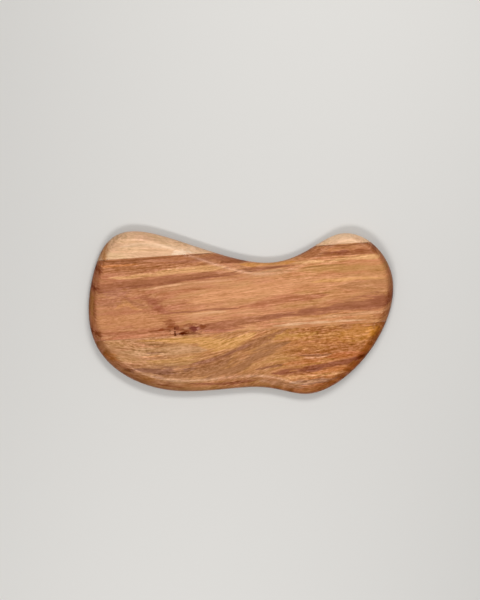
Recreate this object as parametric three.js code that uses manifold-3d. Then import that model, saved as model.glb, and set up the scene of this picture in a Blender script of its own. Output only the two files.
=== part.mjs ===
import * as THREE from 'three';
import { NURBSCurve } from 'three/addons/curves/NURBSCurve.js';
import { mergeVertices } from 'three/addons/utils/BufferGeometryUtils.js';
import Module from 'manifold-3d';

// A free-form serving board, edge-glued from three staves of wood and then sawn and sanded to shape.
// X runs along the grain, Y across it and Z up. The board rests on z = 0, centred on its own box.
// All sizes are in millimetres.

// Overall size, over the lobes
const BOARD_LENGTH = 383;
const BOARD_WIDTH = 218;
const BOARD_THICKNESS = 20;

// Staves and the glue film in each of their joints; the lower stave has the rest of the width
const UPPER_STAVE_WIDTH = 34;   // what the sawn outline leaves of it at the higher lobe
const MIDDLE_STAVE_WIDTH = 100;
const GLUE_FILM = 0.2;

// Sloping edge: its width from above at each corner of the outline, between which it is blended.
// The two hollows are sanded further in than the lobes, and the upper right lobe least.
const LEFT_SHOULDER_EDGE = 10;
const LEFT_END_EDGE = 11.5;
const LOWER_LEFT_LOBE_EDGE = 11.5;
const LOWER_HOLLOW_EDGE = 16;
const LOWER_RIGHT_LOBE_EDGE = 8.5;
const RIGHT_FLANK_EDGE = 10.5;
const RIGHT_SHOULDER_EDGE = 7.5;
const UPPER_RIGHT_LOBE_EDGE = 4;
const UPPER_HOLLOW_EDGE = 19.5;
const UPPER_LEFT_LOBE_EDGE = 8;
const ARRIS_EASING = 5;         // how far the line between face and edge is sanded to each side
const UNDER_ROUND = 7;          // radius below the widest part of the edge

// Shape of the flank between the eased arris and the widest part: how far its two handles reach
const FLANK_REACH = 0.5;        // share of the edge width
const FLANK_FALL = 0.38;        // share of the flank height, where the upper handle ends
const FLANK_RISE = 0.4;         // share of the flank height, for the upright lower handle

// Control corners of the outline: a closed cubic spline runs inside them. Each is measured from the sides
// of the board that it shapes, so a longer or wider board has its lobes further apart and of the same form.
// A corner with a negative distance lies outside the board.
const LEFT_SHOULDER_FROM_LEFT = 7;
const LEFT_SHOULDER_FROM_TOP = 36;
const LEFT_END_FROM_LEFT = -12.5;
const LEFT_END_FROM_BOTTOM = 69;
const LOWER_LEFT_LOBE_FROM_LEFT = 88;
const LOWER_LEFT_LOBE_FROM_BOTTOM = 2;
const LOWER_HOLLOW_X = 28;
const LOWER_HOLLOW_FROM_BOTTOM = 22;
const LOWER_RIGHT_LOBE_FROM_RIGHT = 117;
const LOWER_RIGHT_LOBE_FROM_BOTTOM = -14;
const RIGHT_FLANK_FROM_RIGHT = 32;
const RIGHT_FLANK_FROM_BOTTOM = 35;
const RIGHT_SHOULDER_FROM_RIGHT = -22;
const RIGHT_SHOULDER_FROM_TOP = 71;
const UPPER_RIGHT_LOBE_FROM_RIGHT = 62;
const UPPER_RIGHT_LOBE_FROM_TOP = -8;
const UPPER_HOLLOW_X = 53;
const UPPER_HOLLOW_FROM_TOP = 85;
const UPPER_LEFT_LOBE_FROM_LEFT = 51;
const UPPER_LEFT_LOBE_FROM_TOP = -27.5;

// The corners anticlockwise from above: x, y and the width of the edge there
const leftX = -BOARD_LENGTH / 2;
const rightX = BOARD_LENGTH / 2;
const topY = BOARD_WIDTH / 2;
const bottomY = -BOARD_WIDTH / 2;
const outlineCorners = [
  [leftX + LEFT_SHOULDER_FROM_LEFT, topY - LEFT_SHOULDER_FROM_TOP, LEFT_SHOULDER_EDGE],
  [leftX + LEFT_END_FROM_LEFT, bottomY + LEFT_END_FROM_BOTTOM, LEFT_END_EDGE],
  [leftX + LOWER_LEFT_LOBE_FROM_LEFT, bottomY + LOWER_LEFT_LOBE_FROM_BOTTOM, LOWER_LEFT_LOBE_EDGE],
  [LOWER_HOLLOW_X, bottomY + LOWER_HOLLOW_FROM_BOTTOM, LOWER_HOLLOW_EDGE],
  [rightX - LOWER_RIGHT_LOBE_FROM_RIGHT, bottomY + LOWER_RIGHT_LOBE_FROM_BOTTOM, LOWER_RIGHT_LOBE_EDGE],
  [rightX - RIGHT_FLANK_FROM_RIGHT, bottomY + RIGHT_FLANK_FROM_BOTTOM, RIGHT_FLANK_EDGE],
  [rightX - RIGHT_SHOULDER_FROM_RIGHT, topY - RIGHT_SHOULDER_FROM_TOP, RIGHT_SHOULDER_EDGE],
  [rightX - UPPER_RIGHT_LOBE_FROM_RIGHT, topY - UPPER_RIGHT_LOBE_FROM_TOP, UPPER_RIGHT_LOBE_EDGE],
  [UPPER_HOLLOW_X, topY - UPPER_HOLLOW_FROM_TOP, UPPER_HOLLOW_EDGE],
  [leftX + UPPER_LEFT_LOBE_FROM_LEFT, topY - UPPER_LEFT_LOBE_FROM_TOP, UPPER_LEFT_LOBE_EDGE],
];

// Fineness of the surface
const OUTLINE_STEPS = 228;
const ARRIS_STEPS = 5;
const FLANK_STEPS = 6;
const UNDER_STEPS = 5;
const SPLINE_DEGREE = 3;

const wasm = await Module();
wasm.setup();

// The closed spline of the outline, centred on its box: x, y and, as z, the width of the edge there.
function splineOutline() {
  const corners = outlineCorners.map(([x, y, edge]) => new THREE.Vector4(x, y, edge, 1));
  const looped = [...corners, ...corners.slice(0, SPLINE_DEGREE)];
  const knots = Array.from({ length: looped.length + SPLINE_DEGREE + 1 }, (_, i) => i);
  const curve = new NURBSCurve(SPLINE_DEGREE, knots, looped, SPLINE_DEGREE, looped.length);
  const points = curve.getSpacedPoints(OUTLINE_STEPS).slice(0, OUTLINE_STEPS);
  const middle = new THREE.Box3().setFromPoints(points).getCenter(new THREE.Vector3());
  return points.map((point) => point.sub(middle.setZ(0)));
}

// Section of the edge from the face to the underside: x is the distance in from the outline, y the height.
function edgeSection(edgeWidth) {
  const flankHeight = BOARD_THICKNESS - UNDER_ROUND;
  const arris = new THREE.Vector2(edgeWidth, BOARD_THICKNESS);
  const handle = new THREE.Vector2(
    edgeWidth * (1 - FLANK_REACH),
    BOARD_THICKNESS - flankHeight * FLANK_FALL,
  );
  const faceEnd = new THREE.Vector2(edgeWidth + ARRIS_EASING, BOARD_THICKNESS);
  const flankTop = handle.clone().sub(arris).setLength(ARRIS_EASING).add(arris);
  const lowHandle = new THREE.Vector2(0, UNDER_ROUND + flankHeight * FLANK_RISE);
  const widest = new THREE.Vector2(0, UNDER_ROUND);
  const easing = new THREE.QuadraticBezierCurve(faceEnd, arris, flankTop);
  const flank = new THREE.CubicBezierCurve(flankTop, handle, lowHandle, widest);
  const under = new THREE.EllipseCurve(
    UNDER_ROUND, UNDER_ROUND, UNDER_ROUND, UNDER_ROUND, Math.PI, 1.5 * Math.PI,
  );
  return [
    ...easing.getPoints(ARRIS_STEPS),
    ...flank.getPoints(FLANK_STEPS).slice(1),
    ...under.getPoints(UNDER_STEPS).slice(1),
  ];
}

// The whole board in one piece: the edge section carried round the outline, with a flat face and underside.
function boardGeometry() {
  const drawn = splineOutline();
  const outline = drawn.map(({ x, y }) => new THREE.Vector2(x, y));
  const count = outline.length;
  const inward = outline.map((_, i) => {
    const along = outline[(i + 1) % count].clone().sub(outline[(i + count - 1) % count]).normalize();
    return new THREE.Vector2(-along.y, along.x);
  });
  const sections = drawn.map(({ z: edgeWidth }) => edgeSection(edgeWidth));
  const rings = sections[0].length;
  const positions = [];
  for (let ring = 0; ring < rings; ring += 1) {
    outline.forEach((point, i) => {
      const { x: inset, y: height } = sections[i][ring];
      const moved = point.clone().addScaledVector(inward[i], inset);
      positions.push(moved.x, moved.y, height);
    });
  }
  const faces = [];
  for (let ring = 0; ring < rings - 1; ring += 1) {
    for (let i = 0; i < count; i += 1) {
      const next = (i + 1) % count;
      const upper = ring * count;
      const lower = upper + count;
      faces.push(upper + i, lower + i, lower + next);
      faces.push(upper + i, lower + next, upper + next);
    }
  }
  const ringPoints = (ring) => outline.map((_, i) => {
    const at = 3 * (ring * count + i);
    return new THREE.Vector2(positions[at], positions[at + 1]);
  });
  const last = (rings - 1) * count;
  for (const [a, b, c] of THREE.ShapeUtils.triangulateShape(ringPoints(0), [])) {
    faces.push(a, b, c);
  }
  for (const [a, b, c] of THREE.ShapeUtils.triangulateShape(ringPoints(rings - 1), [])) {
    faces.push(last + a, last + c, last + b);
  }
  const geometry = new THREE.BufferGeometry();
  geometry.setAttribute('position', new THREE.Float32BufferAttribute(positions, 3));
  geometry.setIndex(faces);
  return geometry;
}

function toSolid(geometry) {
  const bare = geometry.clone();
  bare.deleteAttribute('normal');
  bare.deleteAttribute('uv');
  const merged = mergeVertices(bare, 1e-4);
  return new wasm.Manifold(new wasm.Mesh({
    numProp: 3,
    vertProperties: new Float32Array(merged.attributes.position.array),
    triVerts: new Uint32Array(merged.index.array),
  }));
}

function toGeometry(solid) {
  const mesh = solid.getMesh();
  const geometry = new THREE.BufferGeometry();
  geometry.setAttribute('position', new THREE.Float32BufferAttribute(mesh.vertProperties, mesh.numProp));
  geometry.setIndex(Array.from(mesh.triVerts));
  geometry.computeVertexNormals();
  return geometry;
}

// A block of the blank between two x and two y, taller than the board, that keeps one piece of it.
function block(xLow, xHigh, yLow, yHigh) {
  const box = new THREE.BoxGeometry(xHigh - xLow, yHigh - yLow, BOARD_THICKNESS * 2);
  box.translate((xLow + xHigh) / 2, (yLow + yHigh) / 2, BOARD_THICKNESS / 2);
  return toSolid(box);
}

const board = toSolid(boardGeometry());

// Limits of the blank, well past the board on every side
const left = 2 * leftX;
const right = 2 * rightX;
const top = 2 * topY;
const bottom = 2 * bottomY;

// Sides of the staves, from the top down
const upperStaveY = topY - UPPER_STAVE_WIDTH;
const upperJointY = upperStaveY - GLUE_FILM;
const lowerJointY = upperJointY - MIDDLE_STAVE_WIDTH;
const lowerStaveY = lowerJointY - GLUE_FILM;

const heartwood = new THREE.MeshStandardMaterial({ color: '#b27a4c', roughness: 0.42, metalness: 0 });
const goldenWood = new THREE.MeshStandardMaterial({ color: '#b98a52', roughness: 0.42, metalness: 0 });
const sapwood = new THREE.MeshStandardMaterial({ color: '#dcb98b', roughness: 0.42, metalness: 0 });
const glue = new THREE.MeshStandardMaterial({ color: '#7c5030', roughness: 0.5, metalness: 0 });

const pieces = [
  ['middle_stave', heartwood, block(left, right, lowerJointY, upperJointY)],
  ['lower_stave', goldenWood, block(left, right, bottom, lowerStaveY)],
  ['upper_left_stave', sapwood, block(left, UPPER_HOLLOW_X, upperStaveY, top)],
  ['upper_right_stave', sapwood, block(UPPER_HOLLOW_X, right, upperStaveY, top)],
  ['lower_glue_line', glue, block(left, right, lowerStaveY, lowerJointY)],
  ['upper_left_glue_line', glue, block(left, UPPER_HOLLOW_X, upperJointY, upperStaveY)],
  ['upper_right_glue_line', glue, block(UPPER_HOLLOW_X, right, upperJointY, upperStaveY)],
];

const part = new THREE.Group();
part.name = 'serving_board';
for (const [name, material, keep] of pieces) {
  const mesh = new THREE.Mesh(toGeometry(board.intersect(keep)), material.clone());
  mesh.name = name;
  part.add(mesh);
}

export default part;
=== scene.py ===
# %% [markdown]
# # A free-form serving board in oiled acacia
#
# The board is a kidney-shaped slab glued up from three staves of one hardwood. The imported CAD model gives
# every stave and glue film its place and size. This lesson dresses that model for the camera: smooth
# meshes with a knot that has really opened, wood that is drawn layer by layer, and a studio that looks
# straight down.

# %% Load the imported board
import math

import bmesh
import bpy
from mathutils import Matrix, Vector


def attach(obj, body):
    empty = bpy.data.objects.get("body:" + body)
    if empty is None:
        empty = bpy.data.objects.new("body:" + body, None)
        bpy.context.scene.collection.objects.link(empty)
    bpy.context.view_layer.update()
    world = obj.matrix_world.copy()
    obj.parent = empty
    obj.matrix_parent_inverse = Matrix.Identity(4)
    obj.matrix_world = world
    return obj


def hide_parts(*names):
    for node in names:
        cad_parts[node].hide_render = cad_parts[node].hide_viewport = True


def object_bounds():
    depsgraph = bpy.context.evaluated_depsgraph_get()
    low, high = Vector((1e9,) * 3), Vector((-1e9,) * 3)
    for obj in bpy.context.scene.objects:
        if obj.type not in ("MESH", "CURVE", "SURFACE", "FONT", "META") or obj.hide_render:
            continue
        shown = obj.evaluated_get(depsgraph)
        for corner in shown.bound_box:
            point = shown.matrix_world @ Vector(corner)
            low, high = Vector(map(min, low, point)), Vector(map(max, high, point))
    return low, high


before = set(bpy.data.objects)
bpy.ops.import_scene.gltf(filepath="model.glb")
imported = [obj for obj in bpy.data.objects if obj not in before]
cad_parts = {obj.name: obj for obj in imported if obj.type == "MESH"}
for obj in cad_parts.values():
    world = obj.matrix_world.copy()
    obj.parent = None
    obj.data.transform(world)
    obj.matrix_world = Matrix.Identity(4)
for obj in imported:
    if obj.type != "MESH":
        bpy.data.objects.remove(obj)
cad_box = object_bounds()
MM = 0.001
low, high = (Vector(corner) for corner in cad_box)
THICKNESS = high.z - low.z
print("board", [round(side / MM, 1) for side in high - low], "mm from", sorted(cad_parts))

# %% [markdown]
# ## Staves
#
# A CAD node arrives as loose flat triangles, right in size but faceted. A stave could be modelled again
# from its outline, but then two outlines would have to agree, so each stave here starts as a copy of its
# node. Merging its doubles makes one closed skin, dissolving its flat triangles leaves one face on top and
# one below, and joining the triangles of the edge in pairs gives clean bands of quads that run round the
# board.

# %% One closed skin from a CAD node
MERGE = 0.002 * MM  # points nearer than this are one
FLAT = math.radians(0.05)  # faces that differ by less are one flat face
TWIST = math.radians(4)  # the most that two triangles of one quad may differ
LEVEL = 0.9999  # the least upward part of a normal on the two flat faces


def top_face(skin):
    """The widest face of a skin that lies in the serving face."""
    flats = [f for f in skin.faces if f.normal.z > LEVEL]
    level = [f for f in flats if abs(f.calc_center_median().z - high.z) < MERGE]
    return max(level, key=lambda f: f.calc_area())


def stave_skin(node):
    """A closed skin of quads and two flat faces from the loose triangles of a CAD node."""
    skin = bmesh.new()
    skin.from_mesh(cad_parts[node].data)
    bmesh.ops.remove_doubles(skin, verts=skin.verts, dist=MERGE)
    bmesh.ops.dissolve_limit(skin, angle_limit=FLAT, verts=skin.verts, edges=skin.edges)
    thirds = [f for f in skin.faces if len(f.verts) == 3]
    bmesh.ops.join_triangles(skin, faces=thirds, angle_face_threshold=TWIST, angle_shape_threshold=math.pi)
    return skin


STAVES = ("middle_stave", "lower_stave", "upper_left_stave", "upper_right_stave")
skins = {node: stave_skin(node) for node in STAVES}
print({node: len(skin.faces) for node, skin in skins.items()}, "faces")

# %% [markdown]
# ## Knot
#
# Where a branch grew, the wood has dried and opened in a few small checks beside the glue line. A bump map
# could hint at them, but an open check has a dark floor and a lit rim from every side, so they are cut
# into the mesh. The top face is taken out, filled again round small ovals with triangle_fill, and each
# oval is drawn down in two steps inside a flat ring.

# %% Open checks of the knot
KNOT = Vector((-71, -18, 0)) * MM
CHECKS = (  # middle of each check from the knot's, its half length and half width, and its turn in degrees
    ((-6.7, -4.4), 1.5, 0.8, 8),
    ((-2.7, -4.0), 1.7, 1.0, -6),
    ((-13.5, -2.4), 2.4, 0.6, 78),
)
CHECK_STEPS = ((0.85, 0), (0.75, 0.35), (0.5, 0.3))  # a flat ring, then how much narrower and deeper in mm
CHECK_SIDES = 18

skin = skins["middle_stave"]
top = top_face(skin)
rims = list(top.edges)
bmesh.ops.delete(skin, geom=[top], context="FACES_ONLY")
ovals = []
for (dx, dy), half_length, half_width, turn in CHECKS:
    centre = KNOT + Vector((dx, dy, 0)) * MM + Vector((0, 0, high.z))
    place = Matrix.Translation(centre) @ Matrix.Rotation(math.radians(turn), 4, "Z")
    ellipse = place @ Matrix.Diagonal((half_length * MM, half_width * MM, 1, 1))
    made = bmesh.ops.create_circle(skin, segments=CHECK_SIDES, radius=1, matrix=ellipse)
    ovals.append((centre, list({e for v in made["verts"] for e in v.link_edges})))
rims += [e for _, loop in ovals for e in loop]
bmesh.ops.triangle_fill(skin, edges=rims, use_beauty=True, normal=(0, 0, 1))
for centre, loop in ovals:
    for narrower, deeper in CHECK_STEPS:
        grown = bmesh.ops.extrude_edge_only(skin, edges=loop)["geom"]
        verts = [g for g in grown if isinstance(g, bmesh.types.BMVert)]
        loop = [g for g in grown if isinstance(g, bmesh.types.BMEdge)]
        bmesh.ops.scale(skin, vec=(narrower, narrower, 1), space=Matrix.Translation(-centre), verts=verts)
        bmesh.ops.translate(skin, vec=(0, 0, -deeper * MM), verts=verts)
    bmesh.ops.edgeloop_fill(skin, edges=loop)
bmesh.ops.recalc_face_normals(skin, faces=skin.faces)
print(len(ovals), "checks,", sum(not e.is_manifold for e in skin.edges), "open edges")

# %% [markdown]
# ## From skins to pieces
#
# Every skin becomes an object at the origin that rides on the board's one body and stands for its CAD
# node. Its faces are smooth, so the rounded edge has no facets, and only the sawn joints, which are
# square, stay hard. Smooth shading alone would run on from the rounded edge over the wide flat face and
# make it look dented, so each corner on the border of a flat face is given that face's own normal: the
# rounding then starts level with it.

# %% Finished staves
SQUARE = math.radians(40)  # edges that turn more than this stay hard
UPRIGHT = 0.3  # the most upward part of a normal on the sawn joints, which keep their own


def level_borders(mesh):
    """Gives the corners round the two flat faces those faces' own normals."""
    flats = [face for face in mesh.polygons if abs(face.normal.z) > LEVEL]
    level = {vertex: face.normal.copy() for face in flats for vertex in face.vertices}
    normals = [corner.vector.copy() for corner in mesh.corner_normals]
    for face in mesh.polygons:
        if abs(face.normal.z) > UPRIGHT:
            for corner, vertex in zip(face.loop_indices, face.vertices):
                normals[corner] = level.get(vertex, normals[corner])
    mesh.normals_split_custom_set(normals)
    return len(level)


staves = {}
for node, skin in skins.items():
    mesh = bpy.data.meshes.new("oiled_" + node)
    skin.to_mesh(mesh)
    skin.free()
    mesh.shade_smooth()
    mesh.set_sharp_from_angle(angle=SQUARE)
    print(node, level_borders(mesh), "points on its flat faces")
    stave = bpy.data.objects.new("oiled_" + node, mesh)
    bpy.context.scene.collection.objects.link(stave)
    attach(stave, "root")
    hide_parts(node)
    staves[node] = stave

# %% [markdown]
# ## Wood as a stack of layers
#
# Wood has its figure all through, so nothing here is painted on a surface: each point asks how far it lies
# across the growth layers and takes the colour of that layer. Object coordinates are turned into
# millimetres, the layers lean as they go down through the board and wander a little, and every colour
# below is placed in that field. One small function adds a node, with its settings and links.

# %% Colours and nodes
def linear(hex_colour):
    """An sRGB hex colour as linear RGBA."""
    parts = [int(hex_colour[i:i + 2], 16) / 255 for i in (1, 3, 5)]
    return [p / 12.92 if p <= 0.04045 else ((p + 0.055) / 1.055) ** 2.4 for p in parts] + [1]


def add(tree, kind, feed=None, give=0, curve=(), **settings):
    """Adds a node with its settings, feeds its inputs with links or values, and gives one of its outputs.

    A float curve also gets the points, from 0 to 1 both ways, that it runs through.
    """
    made = tree.nodes.new("ShaderNode" + kind)
    for name, value in settings.items():
        setattr(made, name, value)
    for socket, value in (feed or {}).items():
        if isinstance(value, bpy.types.NodeSocket):
            tree.links.new(value, made.inputs[socket])
        else:
            made.inputs[socket].default_value = value
    if curve:
        made.mapping.extend = "HORIZONTAL"
        line = made.mapping.curves[0].points
        while len(line) < len(curve):
            line.new(0.5, 0.5)
        for point, place in zip(line, curve):
            point.location = place
            point.handle_type = "AUTO_CLAMPED"
        made.mapping.update()
    return made.outputs[give]


print("oil-brown as linear", [round(part, 3) for part in linear("#b97f58")])

# %% [markdown]
# The field is worked out once in each wood. A course is a smooth curve along the board, given by a few
# points in millimetres: it serves for the flow of the fine grain and, further down, for the path and width
# of each streak. Fibres are long thin cells of noise, and they decide which strands of wood a streak takes
# in and which it skips.

# %% The layer field
SPAN = 400  # the field that a course covers, a little more than the board's length in mm
LEAN = (0.15, 0.9)  # how far the layers shift across the board for each mm down, mid-board and at its ends
LEAN_GROWS = (90, 165)  # between these distances from the middle, in mm
WANDER = ((110, 30, 4.0), (55, 10, 1.2), (20, 5, 1.0))  # length, width and reach in mm of the layers' bends
PITH = (20, -130)  # where the heart of the tree lay, across the board and up from its underside, in mm
MID = 0.5  # the middle of a noise, a curve or a hue that goes from 0 to 1
NOISE = {1: 0.3, 2: 0.7}  # nearly all noise lies between these, as the first range of a Map Range node
SWAY = {3: -1.0, 4: 1.0}  # its second range for what goes both ways
# Patterns of the grain: length and width of a cell in mm, steps of detail and a seed of its own
FIBRES = (18, 1.4, 3.0, 9.4)  # strands of a streak: a real fibre is far finer, so one of these is a bundle
CLOUDS = (26, 5.0, 3.0, 2.6)  # the stronger and weaker parts of a streak
RAGS = (6, 3.0, 3.0, 4.4)  # bays in the outline of a spot
RINGS = (60, 2.4, 3.0, 5.1)  # growth rings that the rounded edge cuts through
LAST_STRAND = 0.4  # the cover at which the last strand starts to take a colour
TAKING = 0.6  # and how much more cover a strand needs to have all of it


def grain(tree, wood, along, across, detail=2.0, seed=0.0, rough=0.5):
    """Noise from 0 to 1 in cells that are so many millimetres long along the grain and wide across it."""
    cell = add(tree, "Mapping", {0: wood, 1: (seed, seed, seed), 3: (1 / along, 1 / across, 1 / across)})
    return add(tree, "TexNoise", {"Vector": cell, "Scale": 1.0, "Detail": detail, "Roughness": rough})


def course(tree, run, points):
    """A value in mm that goes along the board through points of x and value, also in mm."""
    places = [(x / SPAN + MID, value / SPAN + MID) for x, value in points]
    bent = add(tree, "FloatCurve", {"Value": run}, curve=places)
    return add(tree, "Math", {0: bent, 1: SPAN, 2: -SPAN * MID}, operation="MULTIPLY_ADD")


def layer_field(tree, flow):
    """Places in mm, x along the board and y across the layers, with the wood's own grain and its fibres."""
    place = add(tree, "TexCoord", give="Object")
    place = add(tree, "VectorMath", {0: place, "Scale": 1 / MM}, operation="SCALE")
    x, y, z = add(tree, "SeparateXYZ", {0: place}).node.outputs
    run = add(tree, "Math", {0: x, 1: 1 / SPAN, 2: MID}, operation="MULTIPLY_ADD")
    away = add(tree, "Math", {0: x}, operation="ABSOLUTE")
    ends = {1: LEAN_GROWS[0], 2: LEAN_GROWS[1], 3: LEAN[0], 4: LEAN[1]}
    lean = add(tree, "MapRange", {0: away, **ends}, interpolation_type="SMOOTHSTEP")
    below = add(tree, "Math", {0: z, 1: -THICKNESS / MM}, operation="ADD")
    y = add(tree, "Math", {0: below, 1: lean, 2: y}, operation="MULTIPLY_ADD")
    still = add(tree, "CombineXYZ", {0: x, 1: y, 2: z})
    for along, across, reach in WANDER:
        swing = add(tree, "Math", {0: grain(tree, still, along, across), 1: -MID}, operation="ADD")
        y = add(tree, "Math", {0: swing, 1: reach, 2: y}, operation="MULTIPLY_ADD")
    inside = add(tree, "Math", {0: y, 1: course(tree, run, flow)}, operation="SUBTRACT")
    wood = add(tree, "CombineXYZ", {0: x, 1: inside, 2: z})
    aside = add(tree, "Math", {0: inside, 1: -PITH[0]}, operation="ADD")
    above = add(tree, "Math", {0: z, 1: -PITH[1]}, operation="ADD")
    section = add(tree, "CombineXYZ", {1: aside, 2: above})
    radius = add(tree, "VectorMath", {0: section}, give=1, operation="LENGTH")
    ring = grain(tree, add(tree, "CombineXYZ", {0: x, 1: radius}), *RINGS)
    strand = grain(tree, wood, *FIBRES)
    none = add(tree, "MapRange", {0: strand, **NOISE, 3: 0.0, 4: LAST_STRAND})
    whole = add(tree, "Math", {0: none, 1: TAKING}, operation="ADD")
    uneven = add(tree, "MapRange", {0: grain(tree, wood, *CLOUDS), **NOISE, **SWAY})
    ragged = add(tree, "MapRange", {0: grain(tree, wood, *RAGS), **NOISE, **SWAY})
    return {
        "x": x, "y": y, "wood": wood, "run": run, "ring": ring,
        "none": none, "whole": whole, "uneven": uneven, "ragged": ragged,
    }


print("layers bend by up to", MID * sum(reach for *_, reach in WANDER), "mm")

# %% [markdown]
# A streak is a band of colour that follows a course along the grain. How it fades across is a curve too:
# softly, or with one crisp side, as where a growth season ended. Each strand then takes the streak or
# leaves it, so its edge breaks up into fibres as it does in real wood. A spot is the same for something
# round, such as a knot.

# %% Streaks and spots
FADE_REACH = 2  # a fade goes from so many half widths below the path to as many above it
FADES = {
    "soft": ((0, 0), (0.25, 0.5), (0.5, 1), (0.75, 0.5), (1, 0)),
    "crisp_below": ((0.22, 0), (0.3, 0.8), (0.42, 1), (0.6, 0.85), (0.78, 0.4), (1, 0)),
    "crisp_above": ((0, 0), (0.22, 0.4), (0.4, 0.85), (0.58, 1), (0.7, 0.8), (0.78, 0)),
}
THINNEST = 0.1  # the half width in mm at which a streak has faded out
FULL = 0.6  # and the one from which it has its whole strength
UNEVEN = 0.65  # how much a streak's cover comes and goes
RAGGED = 0.5  # how far the outline of a spot moves in and out, in parts of its reach
SPOT_FADE = {1: 1.9, 2: 0.2}  # where a spot has no cover and where it has all, in parts of its reach


def tint(tree, field, under, colour, strength, cover):
    """Lays a colour over the one under it, in the strands that the cover from 0 to 1 reaches."""
    sway = add(tree, "Math", {0: field["uneven"], 1: UNEVEN, 2: 1.0}, operation="MULTIPLY_ADD")
    cover = add(tree, "Math", {0: cover, 1: sway}, operation="MULTIPLY")
    takes = {1: field["none"], 2: field["whole"], 3: 0.0, 4: strength}
    taken = add(tree, "MapRange", {0: cover, **takes}, interpolation_type="SMOOTHSTEP")
    return add(tree, "Mix", {0: taken, 6: under, 7: linear(colour)}, give=2, data_type="RGBA")


def streak(tree, field, under, colour, strength, path, fade="soft"):
    """A band of colour: path holds x, y and half width in mm, from left to right."""
    middle = course(tree, field["run"], [(x, y) for x, y, _ in path])
    half = course(tree, field["run"], [(x, half) for x, _, half in path])
    half = add(tree, "Math", {0: half, 1: THINNEST}, operation="MAXIMUM")
    off = add(tree, "Math", {0: field["y"], 1: middle}, operation="SUBTRACT")
    across = add(tree, "Math", {0: off, 1: half}, operation="DIVIDE")
    part = {0: across, 1: MID / FADE_REACH, 2: MID}
    across = add(tree, "Math", part, operation="MULTIPLY_ADD", use_clamp=True)
    cover = add(tree, "FloatCurve", {"Value": across}, curve=FADES[fade])
    strong = add(tree, "MapRange", {0: half, 1: THINNEST, 2: FULL})
    cover = add(tree, "Math", {0: cover, 1: strong}, operation="MULTIPLY")
    return tint(tree, field, under, colour, strength, cover)


def oval(tree, field, place, reach):
    """How far a point lies from a place, in parts of the reach, all in mm."""
    flat = add(tree, "CombineXYZ", {0: field["x"], 1: field["y"]})
    flat = add(tree, "VectorMath", {0: flat, 1: (-place[0], -place[1], 0)}, operation="ADD")
    flat = add(tree, "VectorMath", {0: flat, 1: (1 / reach[0], 1 / reach[1], 0)}, operation="MULTIPLY")
    return add(tree, "VectorMath", {0: flat}, give=1, operation="LENGTH")


def spot(tree, field, under, colour, strength, place, reach):
    """An oval of colour about a place, both in mm: half of the strands at its reach take it."""
    far = oval(tree, field, place, reach)
    far = add(tree, "Math", {0: field["ragged"], 1: RAGGED, 2: far}, operation="MULTIPLY_ADD")
    cover = add(tree, "MapRange", {0: far, **SPOT_FADE})
    return tint(tree, field, under, colour, strength, cover)


print("fades across a streak:", ", ".join(FADES))

# %% [markdown]
# Under the streaks lies the ground colour, which changes along the stave and has broad lighter and darker
# layers. Over them come the fine things that the eye looks for: growth lines a millimetre or two apart,
# flecks where a bundle of fibres turns, and short open vessels that hold more oil. Dark ones are deeper in
# colour and light ones paler, as oiled wood is.

# %% Ground colour and fine grain
# More patterns, in the columns of those above and, for two of them, the roughness of the noise
BANDS = (150, 6.0, 3.0, 7.1)  # broad light and dark layers
WARMTH = (36, 7, 2.0, 1.9)  # patches that are a little redder or yellower
LINES = (26, 1.6, 3.0, 3.3, 0.65)  # growth lines: really under a millimetre wide, drawn coarser to show
FLECKS = (4.5, 1.7, 2.0, 8.8)  # bundles of fibre that catch the light, drawn coarser too
REGIONS = (70, 18, 1.0, 6.2)  # where the fine grain is plainer or stronger
CURL = (9, 5.0, 4.0, 5.7, 0.7)  # waves of curly grain
GROUND_TURNS = ((-110, -40), (20, 90))  # along the board in mm, where one ground colour turns into the next
BAND_LIGHT = {3: 0.9, 4: 1.08}  # brightness of the broad layers
WARM_HUES = {3: 0.493, 4: 0.507}  # a hue of 0.5 is no change
CURL_GROWS = 50  # over so many mm curly grain comes up
CURL_COVER = {3: 0.0, 4: 0.6}  # how far its two colours cover the wood
CURL_DARK, CURL_LIGHT = {1: 0.5, 2: 0.34}, {1: 0.52, 2: 0.68}  # the part of a wave that each of them takes
PLAIN_TO_STRONG = {1: 0.35, 2: 0.65, 3: 0.6, 4: 1.4}  # strength of the fine grain in plain and strong regions
PLACE_FADE = {1: 0.5, 2: 1.4}  # from where to where a place loses its own strength, in parts of its reach
END_HIDES = 0.3  # how much of the fine grain end grain hides
RING_CONTRAST = 1.6  # how much lighter and darker the growth rings are, where end grain shows them
OIL_HUE = 0.497  # oil makes every colour a little redder
DEPTH = {1: 0.6, 2: 1.4, 3: 1.14, 4: 0.94}  # dark and light grain, and the saturation of each
VESSEL_STAIN = 0.5  # how far the darker oil in a vessel covers the wood
VESSEL_OIL = {"Saturation": 1.15, "Value": 0.6}


def ground(tree, field, tones):
    """The wood's colour without its figure, from tones for the left end, the middle and the right end."""
    colour = linear(tones[0])
    for (first, last), tone in zip(GROUND_TURNS, tones[1:]):
        part = add(tree, "MapRange", {0: field["x"], 1: first, 2: last}, interpolation_type="SMOOTHSTEP")
        colour = add(tree, "Mix", {0: part, 6: colour, 7: linear(tone)}, give=2, data_type="RGBA")
    bright = add(tree, "MapRange", {0: grain(tree, field["wood"], *BANDS), **NOISE, **BAND_LIGHT})
    warm = add(tree, "MapRange", {0: grain(tree, field["wood"], *WARMTH), **NOISE, **WARM_HUES})
    return add(tree, "HueSaturation", {"Hue": warm, "Value": bright, "Color": colour})


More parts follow.
